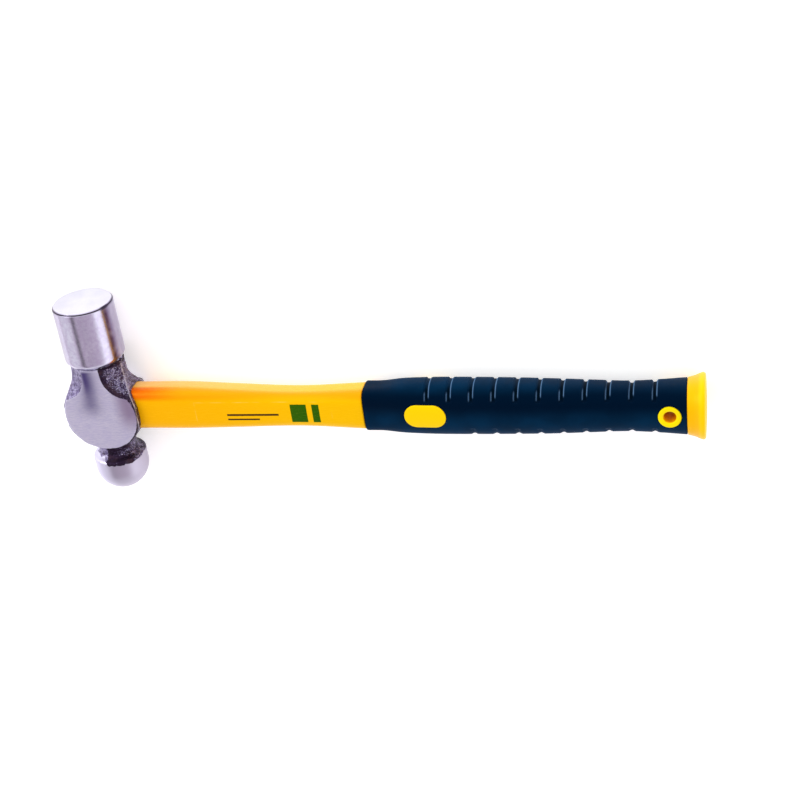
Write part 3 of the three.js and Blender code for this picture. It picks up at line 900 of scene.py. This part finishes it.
TANG = smooth_table([
    [148.5, 9.8, 7, 3, 0],
    [185, 11.8, 8.6, 2.6, -0.1],
    [225, 11.4, 8.8, 2.6, -0.3],
    [287, 10.2, 8, 2.6, -0.5],
    [321, 11, 8.8, 2.6, -0.5],
])


def shaft_jacket():
    """The bare shaft, then the thinner tang under the grip, in one moulding."""
    shaft_to = GRIP_FROM - GAP
    edge = np.array([0.0, 0.1, 0.25, 0.5, 0.8])
    stations = np.concatenate([
        JACKET_FROM + edge,
        np.linspace(JACKET_FROM + 1.2, shaft_to - 1.2, 150),
        shaft_to - edge[::-1],
    ])
    from_end = np.minimum(stations - JACKET_FROM, shaft_to - stations)
    columns = 200
    shaft = oval_grid(stations, SHAFT(stations), columns, by=-0.6 * round_off(from_end, 0.8))
    tang_at = np.linspace(shaft_to + 0.01, JACKET_TO, 60)
    tang = oval_grid(tang_at, TANG(tang_at), columns)
    jacket = closed_loft("jacket", np.concatenate([shaft, tang]))
    core = constant(7.6, 4.8, 3.2, 0)
    socket = oval_bar("socket_tool", np.array([JACKET_FROM - 1, CORE_TO + GAP]), core, 96, GAP)
    return cut(jacket, socket, bore_tool(HOLE_S, HOLE_H, EYELET_RADIUS + GAP))


finished(shaft_jacket(), "shaft_jacket", jacket_plastic(), 45)

# ---- Grip ----

GRIP = smooth_table([
    [148.5, 12.5, 9.3, 3.8, 0],
    [158, 12.8, 9.8, 3.3, 0],
    [168, 14.4, 10.7, 2.7, 0],
    [185, 15.3, 11.6, 2.4, -0.1],
    [204, 15.2, 11.9, 2.4, -0.2],
    [225, 14.9, 11.9, 2.4, -0.3],
    [250, 14.3, 11.6, 2.4, -0.5],
    [270, 13.5, 11.1, 2.4, -0.5],
    [287, 12.9, 10.9, 2.4, -0.5],
    [300, 13.4, 11.3, 2.4, -0.5],
    [315.7, 14.4, 12.4, 2.4, -0.5],
])
FIRST_GROOVE = 183.1
GROOVE_PITCH = 11.66
GROOVE_COUNT = 11
FIRST_BELLY_GROOVE = 2
GROOVE_HALF_WIDTH = 1.25
GROOVE_DEPTH = 1.15
INLAY_MIDDLE = ((INLAY_LOW + INLAY_HIGH) / 2)[:2]
INLAY_ROUND = (INLAY_HIGH[1] - INLAY_LOW[1]) / 2
INLAY_STRAIGHT = (INLAY_HIGH[0] - INLAY_LOW[0]) / 2 - INLAY_ROUND
INLAY_THICKNESS = 1.3
INLAY_PROUD = 0.25
INLAY_RIM = 0.4
OUTSIDE_GRIP = 20.0


def groove_sink(s, h, _):
    """How deep the grip is pressed in, across its top and its belly."""
    nearest = np.round((s - FIRST_GROOVE) / GROOVE_PITCH)
    first = np.where(h > 0, 0, FIRST_BELLY_GROOVE)
    real = (nearest >= first) & (nearest < GROOVE_COUNT)
    off = np.abs(s - FIRST_GROOVE - nearest * GROOVE_PITCH)
    soft = np.where(h > 0, 0, 0.5)
    walls = step(GROOVE_HALF_WIDTH + 0.4 + soft, GROOVE_HALF_WIDTH - 0.7 - soft, off)
    reach = step(7.3, 8.9, np.abs(h)) * np.where(h > 0, 1 - 0.35 * step(12.5, 14, h), 0.62)
    return np.where(real, GROOVE_DEPTH * walls * reach, 0)


def stadium(radius):
    """Points round the inlay's outline, offset from its long middle line."""
    angle = np.linspace(-np.pi / 2, 1.5 * np.pi, 96, endpoint=False)
    end = np.where(np.cos(angle) > 0, INLAY_STRAIGHT, -INLAY_STRAIGHT)
    s, h = end + radius * np.cos(angle), radius * np.sin(angle)
    return INLAY_MIDDLE + np.stack([s, h], -1)


def grip_surface(s, h):
    """How far the grip's front stands from the middle plane."""
    section = GRIP(s)
    depth, thickness, power, middle = (section[..., i] for i in range(4))
    side = np.clip(np.abs((h - middle) / depth), 0, 0.999) ** power
    return thickness * (1 - side) ** (1 / power)


def over_grip(outline, by):
    """The outline's points, raised to the grip's surface and a little more or less."""
    return np.concatenate([outline, (grip_surface(*outline.T) + by)[:, None]], 1)


def pocket_tool(front):
    """What is cut from the front or the back of the grip to take an inlay."""
    low = over_grip(stadium(INLAY_ROUND + GAP), -INLAY_THICKNESS - GAP)
    high = low * [1, 1, 0] + [0, 0, OUTSIDE_GRIP]
    return closed_loft("pocket_tool", np.stack([low, high]) * [1, 1, front])


def grip_sleeve():
    """The ribbed sleeve, with painted highlights on the grooves' lips, and painted shade in the
    grooves and along its start by the shaft.
    """
    centres = FIRST_GROOVE + GROOVE_PITCH * np.arange(GROOVE_COUNT)
    stations = [GRIP_FROM + np.array([0, 0.06, 0.16, 0.32, 0.55, 0.9])]
    stations.append(np.linspace(GRIP_FROM + 1.4, centres[0] - 2.2, 26))
    for centre in centres:
        stations.append(centre + np.linspace(-2.0, 2.0, 21))
        if centre != centres[-1]:
            stations.append(centre + np.linspace(2.4, GROOVE_PITCH - 2.4, 9))
    stations.append(np.linspace(centres[-1] + 2.4, GRIP_TO - 0.7, 12))
    stations.append(GRIP_TO - np.array([0.5, 0.3, 0.14, 0.04, 0]))
    stations = np.concatenate(stations)
    lip = -0.5 * (round_off(stations - GRIP_FROM, 0.9) + round_off(GRIP_TO - stations, 0.5))
    grid = oval_grid(stations, GRIP(stations), 256, groove_sink, lip)
    sleeve = closed_loft("grip", grid)
    tang = oval_bar("tang_tool", np.linspace(GRIP_FROM - 4, JACKET_TO, 40), TANG, 96, GAP)
    hole = bore_tool(HOLE_S, HOLE_H, EYELET_RADIUS + GAP)
    sleeve = cut(sleeve, tang, hole, pocket_tool(1), pocket_tool(-1))
    s, h, _ = places(sleeve).T
    off = s - FIRST_GROOVE - np.round((s - FIRST_GROOVE) / GROOVE_PITCH) * GROOVE_PITCH
    grooved = (s > FIRST_GROOVE - 3) & (s < centres[-1] + 3)
    # Painted highlights along the grooves' lips.
    upper = bell(off - GROOVE_HALF_WIDTH - 0.1, 0.28) * step(9.4, 10.6, h)
    lower = bell(off + GROOVE_HALF_WIDTH - 0.45, 0.28) * step(7.6, 8.6, h) * step(12.4, 11, h)
    # Painted shade in the grooves.
    pit = step(GROOVE_HALF_WIDTH - 0.1, 0.5, np.abs(off - 0.25))
    pit = pit * step(7.6, 8.4, h) * step(15.2, 12.6, h) * grooved
    # Painted shade in the gap at the sleeve's start by the shaft.
    joint = step(0.75, 0.35, s - GRIP_FROM)
    dark = np.maximum(0.95 * pit, joint)
    return paint(sleeve, lip=(upper + 0.8 * lower) * grooved, pit=dark)


finished(grip_sleeve(), "grip_sleeve", grip_rubber(), 42)

# ---- End cap, eyelet and inlays ----

CAP = smooth_table([
    [316, 14.5, 12.5, 2.4, -0.5],
    [319.5, 15.5, 13.5, 2.3, -0.5],
    [323.4, 17, 15, 2.3, -0.5],
    [325, 17.2, 15.2, 2.3, -0.5],
])
CAP_EDGE, CAP_LEAD = 1.6, 0.35
# A shallow dish inside the flat rim of the butt: share of the way out, and depth.
BUTT_DISH = (
    (0.97, 0), (0.9, 0), (0.86, 0.05), (0.83, 0.25), (0.8, 0.5), (0.76, 0.7), (0.7, 0.8),
    (0.45, 0.8), (0.2, 0.8),
)
EYELET_EDGE, EYELET_LIP = 0.4, 1.1


def end_cap():
    """The flared cap, with a rounded edge and a socket for the jacket's end."""
    edge = np.radians(np.linspace(0, 90, 14))
    lead = CAP_LEAD * (1 - np.cos(np.radians(np.linspace(0, 90, 6))))
    stations = np.concatenate([
        CAP_AT + lead,
        np.linspace(CAP_AT + 0.6, BUTT_AT - CAP_EDGE - 0.3, 30),
        BUTT_AT - CAP_EDGE * (1 - np.sin(edge)),
    ])
    by = -round_off(BUTT_AT - stations, CAP_EDGE) - round_off(stations - CAP_AT, CAP_LEAD)
    grid = oval_grid(stations, CAP(stations), 160, by=by)
    middle = grid[-1].mean(0)
    rings = [middle + (grid[-1] - middle) * share - [sunk, 0, 0] for share, sunk in BUTT_DISH]
    cap = closed_loft("cap", np.concatenate([grid, np.stack(rings)]))
    socket_at = np.linspace(CAP_AT - 2, JACKET_TO + GAP, 8)
    return cut(cap, oval_bar("cap_socket_tool", socket_at, TANG, 128, GAP))


def eyelet():
    """A bushing with a rolled lip at both ends of the hang hole."""
    top = EYELET_HIGH[2]
    outer = np.radians(np.linspace(0, 90, 9))
    inner = np.radians(np.linspace(90, 180, 13))
    radius = np.concatenate([
        EYELET_RADIUS - EYELET_EDGE * (1 - np.cos(outer)),
        HOLE_RADIUS + EYELET_LIP * (1 + np.cos(inner)),
    ])
    height = np.concatenate([
        top - EYELET_EDGE * (1 - np.sin(outer)),
        top - EYELET_LIP * (1 - np.sin(inner)),
    ])
    bore, outer_wall = np.full(9, HOLE_RADIUS), np.full(5, EYELET_RADIUS)
    radius = np.concatenate([radius, bore, radius[::-1], outer_wall])
    inside = np.linspace(height[-1], -height[-1], 11)[1:-1]
    outside = np.linspace(-height[0], height[0], 7)[1:-1]
    height = np.concatenate([height, inside, -height[::-1], outside])
    turn = np.linspace(0, 2 * np.pi, 128, endpoint=False)
    grid = np.stack([
        HOLE_S + radius[:, None] * np.cos(turn),
        HOLE_H + radius[:, None] * np.sin(turn),
        height[:, None] + 0 * turn,
    ], -1)
    return outward(ring_loft("eyelet", grid))


def inlay(name, front):
    """A stadium plate that follows the grip's curve, with rounded edges."""
    middle = np.array(INLAY_MIDDLE)

    def ring(radius, share, by):
        return over_grip(middle + (stadium(radius) - middle) * share, by)

    rings = [ring(INLAY_ROUND, share, -INLAY_THICKNESS) for share in (0.1, 0.5, 0.9, 1)]
    for turn in np.radians(np.linspace(0, 90, 7)):
        drop = INLAY_RIM * (1 - np.sin(turn))
        rings.append(ring(INLAY_ROUND - INLAY_RIM * (1 - np.cos(turn)), 1, INLAY_PROUD - drop))
    for share in (0.93, 0.8, 0.65, 0.5, 0.35, 0.2, 0.08):
        rings.append(ring(INLAY_ROUND - INLAY_RIM, share, INLAY_PROUD))
    return outward(closed_loft(name, np.stack(rings) * [1, 1, front]))


finished(end_cap(), "end_cap", TRIM)
finished(eyelet(), "hang_hole_eyelet", TRIM)
finished(inlay("inlay_front_plate", 1), "inlay_front", TRIM)
finished(inlay("inlay_back_plate", -1), "inlay_back", TRIM)

# ---- CAD nodes that stay, inside the head ----


def dress(node, material):
    """Gives a CAD node that stays a procedural material."""
    mesh = frame["nodes"][node].data
    mesh.materials.clear()
    mesh.materials.append(material)


dress("core_rod", fibreglass())
dress("eye_epoxy", epoxy())
dress("eye_dam", dam_foam())

# ---- Floor and light ----

FLOOR_REACH = 4.0


def floor():
    """A sheet of paper that the hammer lies on."""
    corners = FLOOR_REACH * np.array([[-1, -1, 0], [1, -1, 0], [1, 1, 0], [-1, 1, 0]])
    mesh = bpy.data.meshes.new("floor")
    mesh.from_pydata(corners.tolist(), [], [(0, 1, 2, 3)])
    mesh.materials.append(backdrop_paper())
    obj = bpy.data.objects.new("floor", mesh)
    bpy.context.scene.collection.objects.link(obj)


TENT = 2.2  # strength of the world where its pattern is fully white
PLAIN = 1.06  # brightness away from the pattern
WINDOW = 1.42  # how much brighter the world is on the +Y side
# Degrees above the +X horizon, going over the top to the -X side: brightness of the tent.
TENT_PATTERN = (
    (0, 1.3), (5, 1.7), (27, 1.75), (34, 1.15), (42, 0.8), (54, 0.74), (68, 0.7), (82, 0.63),
    (95, 0.68), (106, 0.72), (112, 0.2), (119, 0.14), (125, 0.85), (134, 1.05), (150, 1.12),
    (165, 1.02), (180, 0.9),
)
DIM_TINT = (1.06, 0.94, 1.04)  # colour of the tent where its brightness is under 1


def studio():
    """A light tent: brightness depends on the direction round the hammer's own Y axis."""
    world = bpy.data.worlds.new("studio")
    bpy.context.scene.world = world
    world.use_nodes = True
    tree = world.node_tree
    tree.nodes.clear()

    def add(kind, *inputs, **settings):
        node = tree.nodes.new(kind)
        for name, value in settings.items():
            setattr(node, name, value)
        for socket, value in zip(node.inputs, inputs):
            if isinstance(value, bpy.types.NodeSocket):
                tree.links.new(value, socket)
            else:
                socket.default_value = value
        return node

    direction = add("ShaderNodeTexCoord").outputs["Generated"]
    x, y, z = add("ShaderNodeSeparateXYZ", direction).outputs
    angle = add("ShaderNodeMath", z, x, operation="ARCTAN2").outputs[0]
    share = add("ShaderNodeMath", angle, 1 / math.pi, operation="MULTIPLY").outputs[0]
    ramp = add("ShaderNodeValToRGB", share)
    ramp.color_ramp.interpolation = "B_SPLINE"
    elements = ramp.color_ramp.elements
    for degrees, _ in TENT_PATTERN[1:-1]:
        elements.new(degrees / 180)
    for element, (_, level) in zip(elements, TENT_PATTERN):
        tint = DIM_TINT if level < 1 else (1.0, 1.0, 1.0)
        element.color = (*(level / TENT * c for c in tint), 1)

    # The pattern is only on the -Y side, and fades out straight along the Y axis. A window of
    # light is on the +Y side.
    behind = add("ShaderNodeMapRange", y, -0.15, 0.15).outputs[0]
    straight = add("ShaderNodeMapRange", y, -0.7, -0.9).outputs[0]
    plain = add("ShaderNodeMath", behind, straight, operation="MAXIMUM").outputs[0]
    mixed = add("ShaderNodeMix", data_type="RGBA")
    tree.links.new(plain, mixed.inputs[0])
    tree.links.new(ramp.outputs[0], mixed.inputs[6])
    mixed.inputs[7].default_value = (PLAIN / TENT, PLAIN / TENT, PLAIN / TENT, 1)
    strength = add("ShaderNodeMapRange", y, 0.3, 0.85, TENT, TENT * WINDOW).outputs[0]
    background = add("ShaderNodeBackground", mixed.outputs[2], strength)
    add("ShaderNodeOutputWorld", background.outputs[0])


def key_light():
    """A square area light, aimed at the origin, that cameras don't see."""
    light = bpy.data.lights.new("key", "AREA")
    light.shape = "RECTANGLE"
    light.size = light.size_y = 0.8
    light.energy = 6
    obj = bpy.data.objects.new("key", light)
    obj.location = (-1.05, 0.66, 0.8)
    obj.rotation_mode = "QUATERNION"
    obj.rotation_quaternion = (-Vector(obj.location)).to_track_quat("-Z", "Y")
    obj.visible_camera = False
    bpy.context.scene.collection.objects.link(obj)


floor()
studio()
key_light()

scene = bpy.context.scene
scene.view_settings.view_transform = "Standard"
scene.view_settings.look = "None"
scene.view_settings.exposure = 0
scene.view_settings.gamma = 1
